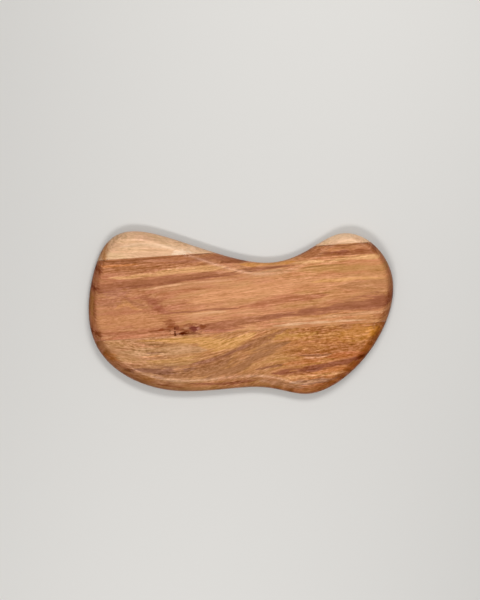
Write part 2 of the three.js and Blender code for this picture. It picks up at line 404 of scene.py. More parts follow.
def curly(tree, field, colour, start, shade, light):
    """Blotches of two colours where the fibres are wavy, right of a place along the board."""
    waves = grain(tree, field["wood"], *CURL)
    grows = {0: field["x"], 1: start, 2: start + CURL_GROWS}
    here = add(tree, "MapRange", grows, interpolation_type="SMOOTHSTEP")
    for wave, tone in ((CURL_DARK, shade), (CURL_LIGHT, light)):
        cover = add(tree, "MapRange", {0: waves, **wave, **CURL_COVER})
        cover = add(tree, "Math", {0: cover, 1: here}, operation="MULTIPLY")
        colour = add(tree, "Mix", {0: cover, 6: colour, 7: linear(tone)}, give=2, data_type="RGBA")
    return colour


def fine_grain(tree, field, colour, growth, vessel, end, lines, flecks, places):
    """Darkens and lightens a colour along growth lines, flecks and vessels, which end grain partly hides."""
    patchy = add(tree, "MapRange", {0: grain(tree, field["wood"], *REGIONS), **PLAIN_TO_STRONG})
    clear = add(tree, "Math", {0: end, 1: -END_HIDES, 2: 1.0}, operation="MULTIPLY_ADD")
    patchy = add(tree, "Math", {0: patchy, 1: clear}, operation="MULTIPLY")
    parts = [patchy, patchy]
    for place, reach, *here in places:
        far = oval(tree, field, place, reach)
        for i, strength in enumerate(here):
            near = add(tree, "MapRange", {0: far, **PLACE_FADE, 3: strength, 4: 1.0})
            parts[i] = add(tree, "Math", {0: parts[i], 1: near}, operation="MULTIPLY")
    cut = add(tree, "Math", {0: field["ring"], 1: -MID}, operation="ADD")
    cut = add(tree, "Math", {0: cut, 1: end}, operation="MULTIPLY")
    value = add(tree, "Math", {0: cut, 1: RING_CONTRAST, 2: 1.0}, operation="MULTIPLY_ADD")
    turned = grain(tree, field["wood"], *FLECKS)
    for cells, strength, part in ((growth, lines, parts[0]), (turned, flecks, parts[1])):
        swing = add(tree, "Math", {0: cells, 1: -MID}, operation="ADD")
        swing = add(tree, "Math", {0: swing, 1: part}, operation="MULTIPLY")
        swing = add(tree, "Math", {0: swing, 1: -strength, 2: 1.0}, operation="MULTIPLY_ADD")
        value = add(tree, "Math", {0: swing, 1: value}, operation="MULTIPLY")
    depth = add(tree, "MapRange", {0: value, **DEPTH})
    lit = {"Hue": OIL_HUE, "Saturation": depth, "Value": value, "Color": colour}
    colour = add(tree, "HueSaturation", lit)
    soaked = add(tree, "HueSaturation", {**VESSEL_OIL, "Color": colour})
    stain = add(tree, "Math", {0: vessel, 1: VESSEL_STAIN}, operation="MULTIPLY")
    stain = add(tree, "Math", {0: stain, 1: clear}, operation="MULTIPLY")
    return add(tree, "Mix", {0: stain, 6: colour, 7: soaked}, give=2, data_type="RGBA")


print("growth lines drawn", LINES[1], "mm wide and flecks", FLECKS[1], "mm")

# %% [markdown]
# ## Oiled surface
#
# The rounded edge cuts across the fibres, most of all at both ends of the board. Cut fibres drink more oil
# than the face and turn darker and redder, so the colour deepens where the surface turns away from the
# face: most along X, and along Y as far as a wood is open-grained. This deepening is partly that oiled end
# grain and partly painted shade, which darkens the rounded edge beyond what the lamps do. The oil leaves a
# satin skin with an index near 1.47, a little rougher over the dark growth lines. It has soaked away from
# end grain and from the heart of the knot, which are duller, and the vessels stay open in a shallow bump.

# %% Oiled wood
OIL_IOR = 1.47
SATIN = {3: 0.3, 4: 0.4}  # roughness over pale and over dark growth lines
FILM = {3: 0.6, 4: 0.25}  # how strongly the oil skin mirrors on the face and on end grain
OIL_TINT = "#ffe0cc"  # the oil skin is a little amber, so what it mirrors is warm
VESSELS = (9, 1.5)  # length and width in mm: about 0.3 mm wide in this wood, drawn coarser to show
VESSEL_EDGE = {1: 0.3, 2: 0.12}  # how far from the middle of its cell a vessel starts and is fully open
VESSEL_DEPTH = 0.06 * MM
LINE_RELIEF = 0.35  # how deep growth lines lie, beside the vessels
RELIEF = 0.6  # and how much of all this shows
# The colour deepens both from oil that cut fibres drink and from painted shade on the rounded edge
END_GRAIN_AND_SHADE = {1: 0.05, 2: 0.9}  # the thirst at which the colour starts to deepen, and at which it is deepest
END_OIL_AND_SHADE = {"Hue": 0.49, "Saturation": 1.12, "Value": 0.55}  # what the deepest is like
DRY = {1: 0.03, 2: 0.12}  # how bright the wood is where it has no oil skin, and where it has all of it


def oiled_wood(name, tones, flow, streaks, spots, thirst_and_shade, lines, flecks, curl=None, places=()):
    """One stave's wood, darker where it faces X and Y: oiled end grain and painted shade on its edge."""
    material = bpy.data.materials.new(name)
    material.use_nodes = True
    tree = material.node_tree
    shader = tree.nodes["Principled BSDF"]
    field = layer_field(tree, flow)
    growth = grain(tree, field["wood"], *LINES)
    along, across = VESSELS
    cell = add(tree, "Mapping", {0: field["wood"], 3: (1 / along, 1 / across, 1 / across)})
    near = add(tree, "TexVoronoi", {"Vector": cell, "Scale": 1.0})
    vessel = add(tree, "MapRange", {0: near, **VESSEL_EDGE}, interpolation_type="SMOOTHSTEP")

    colour = ground(tree, field, tones)
    if curl:
        colour = curly(tree, field, colour, *curl)
    for entry in streaks:
        colour = streak(tree, field, colour, *entry[1:])
    for entry in spots:
        colour = spot(tree, field, colour, *entry[1:])
    # Deeper colour where the surface faces along X and Y: oiled end grain, and painted shade on the edge
    facing = add(tree, "VectorMath", {0: add(tree, "NewGeometry", give="Normal")}, operation="ABSOLUTE")
    facing = add(tree, "VectorMath", {0: facing, 1: (*thirst_and_shade, 0)}, give=1, operation="DOT_PRODUCT")
    end = add(tree, "MapRange", {0: facing, **END_GRAIN_AND_SHADE}, interpolation_type="SMOOTHSTEP")
    colour = fine_grain(tree, field, colour, growth, vessel, end, lines, flecks, places)
    soaked = add(tree, "HueSaturation", {**END_OIL_AND_SHADE, "Color": colour})
    colour = add(tree, "Mix", {0: end, 6: colour, 7: soaked}, give=2, data_type="RGBA")

    tree.links.new(colour, shader.inputs["Base Color"])
    film = add(tree, "MapRange", {0: end, **FILM})
    film = add(tree, "MapRange", {0: colour, **DRY, 3: 0.0, 4: film})
    tree.links.new(film, shader.inputs["Specular IOR Level"])
    gloss = add(tree, "MapRange", {0: growth, **NOISE, **SATIN})
    tree.links.new(gloss, shader.inputs["Roughness"])
    level = add(tree, "Math", {0: growth, 1: LINE_RELIEF, 2: vessel}, operation="MULTIPLY_ADD")
    relief = {"Height": level, "Strength": RELIEF, "Distance": VESSEL_DEPTH}
    bump = add(tree, "Bump", relief, invert=True)
    tree.links.new(bump, shader.inputs["Normal"])
    shader.inputs["IOR"].default_value = OIL_IOR
    shader.inputs["Specular Tint"].default_value = linear(OIL_TINT)
    print(name, len(tree.nodes), "nodes")
    return material


print("oil skin of index", OIL_IOR, "over vessels", round(VESSEL_DEPTH / MM, 2), "mm deep")

# %% [markdown]
# ## Middle stave
#
# The widest stave is red-brown heartwood: plain and pinkish on the left, golden and finely lined on the
# right. Three dark bands cross it, a pale streak lies just above the lower joint, and the knot sits on
# that joint on the left.

# %% Streaks of the middle stave
MIDDLE_FLOW = ((-190, 0), (-100, 3), (0, 8), (60, 11), (110, 13), (190, 14))
MIDDLE_STREAKS = (  # name, colour, strength, path of x, y and half width in mm, and a fade that is not soft
    ("left_light", "#cf9264", 0.8,
     ((-190, 0, 5), (-160, -2, 9), (-120, -4, 8), (-95, -6, 4), (-80, -7, 0))),
    ("centre_light", "#e0a273", 0.75,
     ((-70, 14, 0), (-45, 18, 5), (-20, 21, 7), (10, 25, 7), (50, 28, 8), (80, 29, 7), (110, 30, 5),
      (165, 30, 4), (182, 30, 0))),
    ("brown_under_joint", "#b2754c", 0.85,
     ((-190, 66, 9), (-130, 67, 9), (-60, 68, 8), (-20, 68, 8), (0, 66, 6), (95, 68, 7), (150, 68, 8),
      (190, 66, 8)), "crisp_below"),
    ("joint_line", "#935c38", 0.8,
     ((-175, 73.2, 0), (-150, 72.4, 1.8), (-118, 73.2, 1.3), (-96, 73.6, 0.6), (-60, 73.6, 0.6),
      (165, 73.6, 0.9))),
    ("second_line", "#8d5835", 0.75, ((-162, 70, 0), (-148, 69.2, 1.0), (-120, 69.6, 0.8), (-104, 69, 0))),
    ("orange_stripe", "#d58d58", 0.75, ((-178, 65, 0), (-160, 67, 1.4), (-140, 67, 1.2), (-118, 66.4, 0))),
    ("rosy_stripe", "#cf9270", 0.7, ((-122, 70.6, 0), (-105, 70, 1.6), (-88, 69.4, 1.4), (-76, 69, 0))),
    ("third_line", "#9f6740", 0.65,
     ((-160, 58.6, 0), (-140, 58.6, 0.9), (-118, 59, 0.9), (-100, 60.6, 0))),
    ("shoulder_red", "#a3684a", 0.7,
     ((-96, 66, 0), (-70, 66.6, 2.0), (-48, 66.4, 2.4), (-20, 66, 3), (4, 64, 0))),
    ("right_rosy", "#d7956a", 0.75, ((98, 67.6, 0), (115, 67.6, 1.5), (150, 67.2, 1.6), (172, 66, 0))),
    ("right_red", "#a3653f", 0.75,
     ((104, 64.6, 0), (118, 63.8, 2.4), (140, 63, 2.6), (165, 63, 2.8), (185, 60, 1)), "crisp_below"),
    ("left_gold", "#e2ab76", 0.9,
     ((-168, 52, 0), (-140, 52, 2.4), (-105, 53, 2.8), (-70, 56, 3.2), (-40, 56, 3.4), (-12, 57, 0))),
    ("upper_dark", "#a86c4a", 0.9,
     ((-190, 36, 5.6), (-168, 39, 5.4), (-140, 41.4, 5), (-110, 43.2, 4.6), (-70, 46, 4), (-30, 47.8, 3.6),
      (10, 50, 2.2), (45, 51.2, 1.6), (80, 52, 0))),
    ("upper_dark_edge", "#8f5438", 0.6,
     ((-160, 39, 0), (-132, 40, 1.2), (-98, 41.4, 1.2), (-60, 44, 1.1), (-34, 45.6, 1.0), (-4, 46.6, 0))),
    ("hollow_gold", "#dc9c5c", 0.9,
     ((-2, 57.4, 0), (18, 55.4, 2.0), (45, 54.8, 1.8), (60, 55.4, 1.6), (76, 57, 0))),
    ("hollow_dark", "#9c6240", 0.8, ((26, 49.6, 0), (38, 50.6, 1.0), (48, 51.2, 0.9), (58, 52, 0))),
    ("hollow_end_dark", "#8d5230", 0.8, ((-26, 62, 0), (-10, 61.4, 1.8), (4, 60.4, 1.8), (16, 60, 0))),
    ("hollow_pale", "#cf9d73", 0.7, ((12, 45.4, 0), (28, 46.4, 1.0), (45, 47.4, 1.0), (60, 48.4, 0))),
    ("pale_below", "#e3ab80", 0.9,
     ((-136, 33.6, 0), (-110, 35.6, 1.1), (-80, 38.2, 1.1), (-50, 40, 0.9), (-18, 40, 0.9), (10, 40, 0))),
    ("swirl_tail_right", "#b97650", 0.65,
     ((-108, 27.4, 0), (-88, 28, 2.6), (-65, 29.8, 2.6), (-46, 31.6, 0))),
    ("swirl_hook", "#a8674b", 0.65,
     ((-134, 24.6, 0), (-122, 25, 2.4), (-113, 22, 4.6), (-106, 14, 5.4), (-100, 7.6, 3.6), (-92, 4, 1.8),
      (-80, 3, 0))),
    ("swirl_rim", "#ad7152", 0.65,
     ((-150, 31, 0), (-143, 26.4, 1.2), (-136, 20.6, 1.8), (-127, 16.4, 1.6), (-116, 14.6, 0))),
    ("swirl_glow", "#d79a66", 0.7,
     ((-160, 12, 0), (-150, 16, 2.4), (-142, 17.6, 2.6), (-134, 12.4, 2.4), (-120, 8.6, 0))),
    ("olive_right", "#c29058", 0.7,
     ((66, 45, 0), (90, 46.4, 3.4), (120, 45.6, 4), (150, 43.6, 4), (184, 41, 3))),
    ("olive_line", "#aa7945", 0.7, ((74, 48.6, 0), (90, 49.4, 0.9), (115, 49.6, 0.8), (134, 49, 0))),
    ("upper_light", "#eab47d", 0.9,
     ((62, 54, 0), (82, 55.4, 1.4), (110, 55.6, 1.5), (140, 56, 1.5), (165, 56, 2.2), (180, 54, 0))),
    ("gold_right", "#e3aa6e", 0.8,
     ((84, 30, 0), (104, 30.8, 1.8), (130, 30.4, 2.0), (165, 29.6, 1.6), (184, 29, 0))),
    ("left_line", "#a3664a", 0.75,
     ((-92, 3.4, 0), (-76, 3, 0.9), (-56, 3.4, 0.9), (-40, 4.6, 1.2), (-14, 4, 1.0), (6, 3, 0))),
    ("left_line_glow", "#e6b084", 0.85, ((-66, 0.8, 0), (-50, 0.6, 1.0), (-32, 1.2, 1.0), (-14, 0.6, 0))),
    ("red_thread", "#b5734f", 0.8,
     ((-6, 4.4, 0), (10, 5.6, 2.4), (30, 8.4, 3.6), (50, 10.4, 4.2), (66, 10.4, 4.4), (82, 11, 4.4),
      (98, 12, 2.6), (112, 13, 0))),
    ("past_knot", "#b87a56", 0.75,
     ((-58, -19, 1), (-42, -19, 5), (-24, -19, 5), (-8, -20, 2.4), (6, -21, 0))),
    ("main_dark_start", "#a96c4c", 0.75,
     ((-60, -17, 0), (-40, -16.4, 4), (-12, -14.4, 4), (12, -12.6, 3.8), (36, -10.4, 3.6), (60, -8, 0))),
    ("main_dark", "#a5694a", 0.86,
     ((10, -12.4, 0), (36, -10, 2.6), (58, -7.6, 3.4), (80, -5.8, 4.2), (110, -4, 4.6), (140, -1.2, 6.4),
      (165, 0.2, 8.8), (190, 0.6, 9.4))),
    ("main_dark_core", "#95583d", 0.42,
     ((26, -11, 0), (50, -8.6, 1.4), (72, -6.8, 1.7), (94, -5, 2), (125, -4, 2), (155, -4.4, 1.8),
      (186, -5, 1))),
    ("pale_above_joint", "#e6b78d", 0.85,
     ((30, -21, 0), (55, -20.8, 1.2), (75, -20.2, 1.6), (92, -19.6, 1.5), (112, -20.6, 1.1),
      (140, -20.6, 0.7), (164, -21, 0))),
    ("second_pale", "#d9a376", 0.7,
     ((16, -17, 0), (60, -16, 1.4), (95, -14.6, 1.8), (135, -13.4, 2), (178, -12, 1.4))),
    ("right_brown", "#b98358", 0.6, ((118, 22, 0), (148, 22, 6), (175, 21, 7), (190, 21, 7))),
    ("left_rosy_lines", "#b2714f", 0.7,
     ((-180, -16, 0), (-160, -17, 1.4), (-136, -17.4, 1.2), (-112, -18, 0))),
    ("knot_tail", "#985937", 0.9,
     ((-124, -18.4, 0), (-112, -17.6, 0.9), (-103, -16.8, 1.3), (-94, -16, 0.9), (-84, -15, 0))),
    ("pink_past_knot", "#b57459", 0.7,
     ((-52, -21.5, 0), (-38, -22.4, 1.8), (-24, -23, 1.5), (-2, -23.6, 0))),
)
print(len(MIDDLE_STREAKS), "streaks in the middle stave")

# %% [markdown]
# Spots darken both ends, where the rounded edge cuts the bands across, and build the knot. A knot could be
# one round texture, but this one was sawn along its length, so it is made of small ovals: a brown body, a
# very dark heart round the open checks, and paler wood that grew round the dead branch.

# %% Knot and spots of the middle stave
MIDDLE_SPOTS = (  # name, colour, strength, place and reach in mm
    ("left_end_high", "#8a4b2b", 0.75, (-179, 58.6), (9, 4.6)),
    ("left_end_dark", "#87492e", 0.8, (-182, 37.4), (8, 3.2)),
    ("left_end_low", "#82441f", 0.75, (-184, -18), (7.5, 4.5)),
    ("left_end_gold", "#b9854a", 0.7, (-186, 21), (3.4, 13)),
    ("left_end_line", "#8f5533", 0.5, (-182.6, 8), (1.6, 11)),
    ("right_top_left", "#96593a", 0.7, (112, 65.4), (7, 1.6)),
    ("right_top_dark", "#8d4f33", 0.8, (130, 64.8), (8, 2.4)),
    ("right_top_right", "#9a5a36", 0.7, (152, 65.6), (5, 1.8)),
    ("right_top_orange", "#d9905c", 0.7, (116, 69.4), (8, 1.2)),
    ("right_end_dark", "#95583b", 0.6, (174, 2.6), (12, 7)),
    ("right_end_low", "#a8693f", 0.7, (172, -18), (11, 3.6)),
    ("right_end_rim", "#a0623a", 0.6, (186, 6), (3, 6)),
    ("swirl_middle", "#a15e42", 0.5, (-106, 16.5), (8, 6)),
    ("swirl_tail", "#a35f41", 0.5, (-102, 8.5), (6, 4)),
    ("left_rose", "#b67860", 0.6, (-152, 32), (18, 4)),
    ("left_low_rose", "#b87a5e", 0.5, (-164, 22), (10, 5)),
    ("pale_over_knot", "#e2a97e", 0.6, (-54, -2.6), (12, 3.0)),
    ("knot_rose", "#b67853", 0.5, (-51, -11), (8, 2.0)),
    ("knot_halo", "#9d5c39", 0.85, (-89.5, -10.4), (7, 5)),
    ("knot_gold", "#c08955", 0.7, (-66, -10), (9, 2.4)),
    ("knot_body", "#955737", 0.9, (-72, -18.6), (22, 5.4)),
    ("knot_shadow", "#7d4a29", 0.9, (-66, -23.6), (12, 2.6)),
    ("knot_light", "#c98a5e", 0.75, (-77, -13.4), (5, 1.7)),
    ("knot_arc", "#9d5d3c", 0.75, (-67.5, -14.8), (5, 1.5)),
    ("knot_left", "#94532f", 0.85, (-89, -14), (5, 2.0)),
    ("knot_glow", "#c8916a", 0.75, (-70.6, -17), (4.2, 1.7)),
    ("knot_cap", "#86492f", 0.85, (-82.2, -16.6), (2.8, 2.4)),
    ("knot_web", "#8f5536", 0.8, (-81, -20), (3.2, 1.4)),
    ("knot_rim", "#8d5330", 0.75, (-75.6, -17.8), (2.8, 1.0)),
    ("knot_purple", "#7b3f32", 0.9, (-59.4, -19), (5.4, 3.4)),
    ("knot_pink", "#c98b72", 0.75, (-54.6, -18.6), (1.6, 1.2)),
    ("knot_end", "#8a4d2c", 0.95, (-49.6, -16.4), (3.4, 2.4)),
    ("knot_tail_spot", "#944f2d", 0.95, (-101.5, -16.8), (3, 2)),
    ("knot_upper_heart", "#6e3418", 0.95, (-73.4, -21.2), (4.4, 2.0)),
    ("knot_heart", "#5a220f", 0.95, (-75.2, -22.9), (4.6, 2.6)),
    ("knot_bar", "#5e2c14", 0.9, (-84.6, -20.2), (1.1, 4.0)),
    ("knot_speck", "#cc926c", 0.75, (-88.6, -20), (2.4, 1.6)),
    ("knot_dot_high", "#86522f", 0.8, (-90.6, -18.4), (1.0, 0.9)),
    ("knot_dot_low", "#86522f", 0.8, (-90.4, -21.6), (1.1, 0.9)),
    ("knot_grey_speck", "#b07c62", 0.65, (-81.2, -22.8), (1.5, 1.1)),
)
MIDDLE_PLACES = (  # place and reach in mm, and how strong growth lines and flecks are there
    ((-138, 8), (46, 30), 0.5, 1.7),
    ((-10, 20), (70, 22), 0.75, 0.5),
    ((140, -14), (46, 9), 1.7, 1.8),
    ((125, 62), (45, 12), 1.9, 2.2),
    ((-110, 62), (60, 12), 1.3, 2.0),
)
MIDDLE_TONES = ("#c4865e", "#d3966a", "#cf9263")
# How far the colour deepens facing X and Y: oiled end grain and painted shade on the rounded edge
MIDDLE_THIRST_AND_SHADE = (0.9, 0.1)
MIDDLE_FIGURE = (MIDDLE_FLOW, MIDDLE_STREAKS, MIDDLE_SPOTS)
MIDDLE_GRAIN = {"lines": 1.3, "flecks": 0.55, "places": MIDDLE_PLACES}
MIDDLE_WOOD = "acacia_heartwood_oiled"
middle_wood = oiled_wood(MIDDLE_WOOD, MIDDLE_TONES, *MIDDLE_FIGURE, MIDDLE_THIRST_AND_SHADE, **MIDDLE_GRAIN)

# %% [markdown]
# ## Lower stave
#
# This stave came from another board: golden brown, with bands that climb to the right because the saw met
# the layers at an angle. On the right its fibres are curly, which shows as a mottle of gold and brown.

# %% Streaks of the lower stave
LOWER_FLOW = ((-190, 12), (-150, 4), (-110, -2), (-60, -1), (-40, 2), (0, 14), (40, 26), (80, 29), (190, 32))
LOWER_STREAKS = (  # columns as in the middle stave
    ("gold_under_joint", "#d9a264", 0.9,
     ((-140, -28, 0), (-105, -29, 1.6), (-70, -31, 3.6), (-45, -36.4, 7), (-24, -40, 8.4), (0, -33, 4.4),
      (22, -27, 0))),
    ("left_tan", "#c6976b", 0.8,
     ((-160, -40, 0), (-130, -42, 4), (-95, -43, 5), (-66, -44, 5), (-44, -46, 0))),
    ("left_line", "#9a6c42", 0.85, ((-126, -32.6, 0), (-113, -34, 1.3), (-98, -35, 0.9), (-78, -36, 0))),
    ("left_rosy_line", "#a5755a", 0.7, ((-128, -43, 0), (-112, -44, 0.9), (-98, -44.4, 0))),
    ("left_light_line", "#dca06e", 0.85,
     ((-134, -47.6, 0), (-120, -48, 0.9), (-108, -48.2, 0.8), (-98, -48.6, 0))),
    ("left_dash", "#9d6f45", 0.75, ((-72, -45.6, 0), (-60, -46, 0.8), (-48, -46.8, 0))),
    ("amber", "#cd9a62", 0.8, ((-126, -54, 0), (-100, -55.6, 3), (-74, -54.6, 3), (-58, -52, 0))),
    ("left_low_dark", "#906147", 0.95,
     ((-142, -63, 0), (-120, -66, 3), (-105, -68.4, 4.8), (-88, -69.6, 5.8), (-72, -68.6, 4.4),
      (-56, -67, 0))),
    ("below_climb", "#a8754e", 0.95,
     ((-90, -75, 2), (-62, -74, 6), (-30, -70, 8), (-5, -64, 10), (20, -53.6, 8.6), (40, -47, 5),
      (60, -41, 0))),
    ("climbing_dark", "#a8724c", 0.9,
     ((-84, -64, 0), (-62, -63.4, 3), (-45, -61, 4.6), (-30, -57.4, 5.4), (-12, -51.4, 5.6),
      (6, -44.2, 5.6), (20, -38.8, 5.2), (34, -33.4, 4.4), (48, -28, 2), (58, -24, 0)), "crisp_above"),
    ("climb_shade", "#9a6946", 0.6, ((-34, -62.6, 0), (-12, -59, 3.6), (10, -55, 4), (28, -50, 0))),
    ("climbing_core", "#936048", 0.6,
     ((-70, -62, 0), (-52, -60.4, 1.8), (-36, -57, 2.0), (-18, -51.4, 2.0), (0, -45, 1.8), (14, -40, 0))),
    ("right_dark", "#966242", 0.8, ((64, -59.6, 0), (80, -60, 1.5), (96, -60.4, 1.6), (112, -59, 0))),
    ("right_low_brown", "#ac6d3e", 0.85,
     ((92, -55.6, 0), (112, -55.4, 4), (132, -55, 4.6), (152, -54, 0))),
    ("right_pink_line", "#d99c72", 0.8,
     ((66, -63.4, 0), (84, -63.2, 0.9), (104, -62.6, 0.8), (116, -61.6, 0))),
    ("orange", "#c27448", 0.7,
     ((98, -64.6, 0), (112, -63, 2.8), (128, -62.6, 3.6), (142, -63.6, 3.2),
      (154, -65, 0)), "crisp_above"),
    ("gold_line", "#c7935a", 0.8,
     ((2, -67.4, 0), (20, -66, 1.3), (40, -64, 1.4), (58, -62.4, 1.1), (72, -62, 0))),
    ("low_dark_left", "#935e40", 0.8, ((8, -73.6, 0), (22, -72, 1.2), (40, -70, 1.2), (52, -69, 0))),
    ("low_orange", "#c27d4c", 0.8, ((42, -70, 0), (62, -68.6, 2.0), (86, -67.8, 2), (104, -68, 0))),
    ("low_dark", "#96593c", 0.95,
     ((28, -79.6, 0), (48, -78.8, 2.4), (75, -77.4, 3.2), (95, -75, 3.4), (112, -72.6, 3.4),
      (132, -70.8, 3), (150, -69, 2))),
    ("under_band_orange", "#c9814d", 0.75,
     ((84, -81.6, 0), (100, -80.6, 1.6), (118, -79.4, 1.8), (134, -78.4, 0))),
    ("low_dark_core", "#7f4a34", 0.6, ((50, -79, 0), (65, -78.4, 1.0), (88, -76.8, 1.2), (100, -75, 0))),
    ("low_gold", "#dfa570", 0.9,
     ((44, -86.4, 0), (60, -86, 1.6), (90, -85.6, 1.6), (115, -85.2, 1.4), (130, -84.4, 0))),
    # partly wavy grain, partly painted highlight: the greyish pink of the lamp's reflection on the lobe's
    # edge
    ("lobe_ripple_and_highlight", "#b48664", 0.8,
     ((46, -94, 0), (66, -92.4, 3), (90, -92, 3.2), (108, -91, 1.8), (118, -90, 0))),
    ("lobe_wave", "#9a694d", 0.7,
     ((58, -90.6, 0), (70, -91.8, 0.8), (82, -90, 0.8), (96, -91.6, 0.8), (108, -89.6, 0))),
    ("bottom_left_red", "#8a4d2c", 0.7,
     ((-116, -84, 0), (-102, -87, 1.2), (-89, -89.6, 1.4), (-74, -92, 0))),
    ("bottom_left_light", "#c99468", 0.8,
     ((-122, -80, 0), (-104, -83, 1.8), (-88, -86, 1.8), (-74, -89, 0))),
    ("bottom_red", "#98593d", 0.75,
     ((-80, -85.8, 0), (-60, -86.8, 1.1), (-40, -88.8, 1.6), (-20, -89.6, 1.6), (0, -88.2, 1.6),
      (16, -87.2, 0))),
    ("bottom_light", "#c98b60", 0.75,
     ((-72, -90.6, 0), (-58, -90.6, 1.2), (-44, -92, 0.6), (-24, -93, 0.6), (-8, -92.4, 1.2),
      (8, -91.6, 1.2), (18, -91, 0))),
    # painted highlight: a light rose band where the lamp's reflection spreads over the lobe's rounded edge
    ("lobe_rose_highlight", "#d29d74", 0.85,
     ((12, -87, 0), (26, -89.4, 2.6), (42, -93.6, 3.4), (58, -98, 2.8), (74, -100.6, 0))),
    ("lobe_low_wave", "#8f5c40", 0.75, ((62, -95, 0), (76, -96, 0.9), (90, -94.6, 0.9), (104, -95.4, 0))),
)
print(len(LOWER_STREAKS), "streaks in the lower stave")

# %% [markdown]
# Here the spots are for the rounded edge, where each band is cut at a slant and shows wider, and for a few
# patches of the curly grain. Its long side is darker than the face, partly because the fibres of this
# stave drink oil along Y as well, and partly as painted shade on the rounded edge.

# %% Spots of the lower stave
LOWER_SPOTS = (  # columns as in the middle stave
    ("rim_orange", "#c98a55", 0.7, (-166, -48), (7, 5)),
    ("rim_dark", "#7d5038", 0.6, (-143, -67), (6, 3)),
    ("rim_tan", "#cc9563", 0.8, (-123, -77), (9, 4)),
    ("rim_brown", "#8f5a3f", 0.6, (-96, -83), (5, 2.2)),
    ("right_gold", "#cf9050", 0.65, (142, -37), (26, 9)),
    ("right_rose", "#c08258", 0.5, (152, -51), (12, 4)),
    ("edge_gold", "#dc9748", 0.75, (163, -37), (8, 6)),
    ("edge_light", "#d08a4f", 0.7, (154, -58), (6, 12)),
    ("edge_dark_high", "#8f5026", 0.5, (158, -55), (3, 3)),
    ("edge_dark", "#7e4424", 0.6, (147, -71), (7, 2.6)),
    ("edge_orange", "#c9824c", 0.8, (133, -82.5), (9, 3.4)),
    ("edge_rose", "#b27a5e", 0.6, (118, -90), (8, 2.4)),
    ("curl_shadow", "#a76b43", 0.45, (90, -36), (4, 7)),
    ("curl_dark", "#a36d43", 0.4, (61, -33), (8, 2)),
    ("curl_gold", "#cf9a55", 0.6, (66, -35), (22, 4.4)),
    ("curl_rose", "#ab7250", 0.5, (127, -28), (7, 3)),
)
LOWER_PLACES = (((-90, -46), (56, 22), 1.5, 1.1), ((95, -44), (52, 20), 1.2, 1.3))
LOWER_TONES = ("#c08b60", "#c48c5b", "#c0804e")
# How far the colour deepens facing X and Y: oiled end grain and painted shade on the rounded edge
LOWER_THIRST_AND_SHADE = (1.0, 0.7)
LOWER_CURL = (10, "#a4693c", "#cf9255")  # where along the board it starts in mm, its dark and its light
LOWER_FIGURE = (LOWER_FLOW, LOWER_STREAKS, LOWER_SPOTS)
LOWER_GRAIN = {"lines": 1.4, "flecks": 1.2, "curl": LOWER_CURL, "places": LOWER_PLACES}
LOWER_WOOD = "acacia_golden_heartwood_oiled"
lower_wood = oiled_wood(LOWER_WOOD, LOWER_TONES, *LOWER_FIGURE, LOWER_THIRST_AND_SHADE, **LOWER_GRAIN)

# %% [markdown]
# ## Upper staves
#
# What is left of the upper stave is sapwood, the young outer wood of the tree: pale and creamy with faint
# lines. One figure serves both pieces, since they were one stick, but the left one is darker at its
# rounded end, partly from the oil it drinks and partly as painted shade.

# %% Sapwood of the two upper staves
SAP_FLOW = ((-190, 4), (-120, 0), (-60, -5), (60, 0), (190, 4))
SAP_STREAKS = (  # columns as in the middle stave
    ("upper_line", "#e2b388", 0.7, ((-165, 95, 0), (-140, 95, 1.2), (-110, 93, 1.0), (-85, 90, 0))),
    # partly the sapwood's own cream, partly painted highlight along the eased edge of both lobes
    ("cream_and_highlight", "#f4cda7", 0.7,
     ((-150, 90, 0), (-125, 91, 2.4), (-95, 88, 2.4), (-60, 82, 1.6), (100, 80, 1.6), (130, 82, 2.4),
      (160, 80, 1.6))),
    ("lower_line", "#e2b388", 0.6, ((-165, 85, 0), (-135, 84, 1.0), (-100, 84.6, 0.9), (-70, 82, 0))),
)
SAP_SPOTS = (  # columns as in the middle stave
    ("edge_tan", "#c98d55", 0.75, (-166, 82), (5, 12)),
    # painted highlight: a lighter patch where the lamp's reflection lies on the eased edge by the joint
    ("joint_highlight", "#ffe2c2", 0.7, (-72, 77.6), (12, 2.6)),
)
SAP_TONES = ("#ecc096", "#f0c59c", "#f0c59b")
# How far the colour deepens facing X and Y: oiled end grain and painted shade on the rounded edge
SAP_THIRST_AND_SHADE = {"left": (0.8, 0.15), "right": (0.25, 0.0)}
SAP_FIGURE = (SAP_FLOW, SAP_STREAKS, SAP_SPOTS)
SAP_GRAIN = {"lines": 1.0, "flecks": 0.4}
sap_woods = {}
for side, thirst_and_shade in SAP_THIRST_AND_SHADE.items():
    name = "acacia_sapwood_oiled_" + side
    sap_woods[side] = oiled_wood(name, SAP_TONES, *SAP_FIGURE, thirst_and_shade, **SAP_GRAIN)

# %% [markdown]
# The glue that holds the staves has cured to a brown hairline, darker where more of it stayed in the
# joint. A plain brown would do at this size, but the same noise that serves the wood makes the line come
# and go a little. The CAD films keep their own meshes and only take the material; the staves take their
# woods.

# %% Glue, and a material on every piece
GLUE_CELLS = (12, 3.0)  # length and width in mm of its darker and lighter stretches
GLUE_TONES = ("#6e4428", "#94633e")
GLUE_ROUGHNESS = 0.5
glue = bpy.data.materials.new("cured_wood_glue")
glue.use_nodes = True
glue_tree = glue.node_tree
field = layer_field(glue_tree, MIDDLE_FLOW)
glue_shader = glue_tree.nodes["Principled BSDF"]
soak = add(glue_tree, "MapRange", {0: grain(glue_tree, field["wood"], *GLUE_CELLS), **NOISE})
dark, light = (linear(tone) for tone in GLUE_TONES)
tone = add(glue_tree, "Mix", {0: soak, 6: dark, 7: light}, give=2, data_type="RGBA")
glue_tree.links.new(tone, glue_shader.inputs["Base Color"])
glue_shader.inputs["Roughness"].default_value = GLUE_ROUGHNESS

